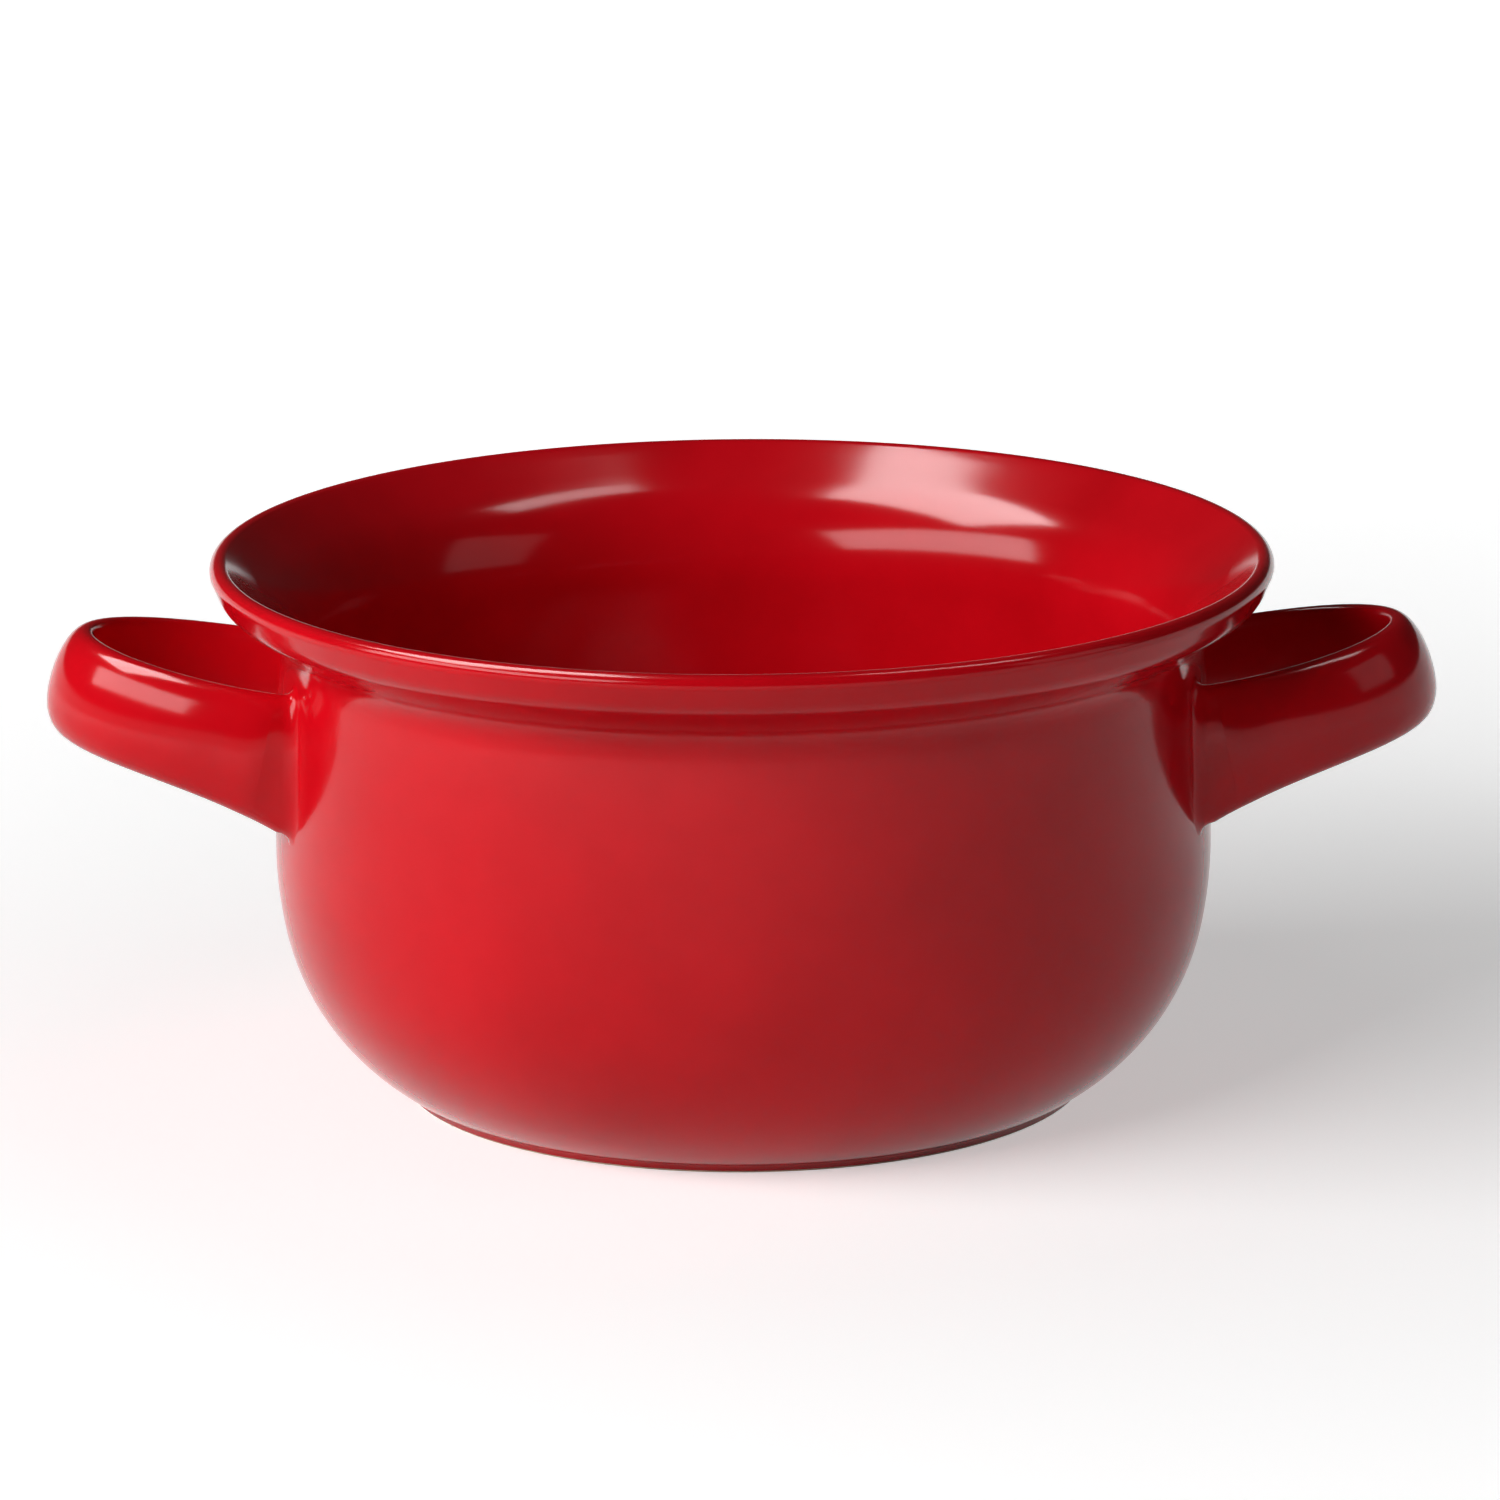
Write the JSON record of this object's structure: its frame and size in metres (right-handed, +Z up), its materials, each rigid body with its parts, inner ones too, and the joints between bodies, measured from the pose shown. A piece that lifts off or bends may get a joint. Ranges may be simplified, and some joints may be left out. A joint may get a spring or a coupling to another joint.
{
  "type": "soup crock",
  "caption": "Round glazed stoneware soup crock with a flared lip, a foot ring and two strap loop handles for carrying and oven use.",
  "frame": {"origin": "middle of the foot, on the surface that the crock stands on", "axes": "+Z up along the bowl's axis, +X along the line of the two handles, towards the right handle"},
  "size_m": [0.196, 0.15, 0.0768],
  "materials": {
    "red_glaze": "glossy saturated red glaze",
    "stoneware": "bare buff stoneware, fired matt"
  },
  "bodies": {
    "root": {"bowl_body": "stoneware", "bowl_glaze": "red_glaze", "base_glaze": "red_glaze", "left_handle": "stoneware", "right_handle": "stoneware", "left_handle_glaze": "red_glaze", "right_handle_glaze": "red_glaze", "left_front_slip_joint": "stoneware", "left_rear_slip_joint": "stoneware", "right_front_slip_joint": "stoneware", "right_rear_slip_joint": "stoneware"}
  },
  "joints": []
}
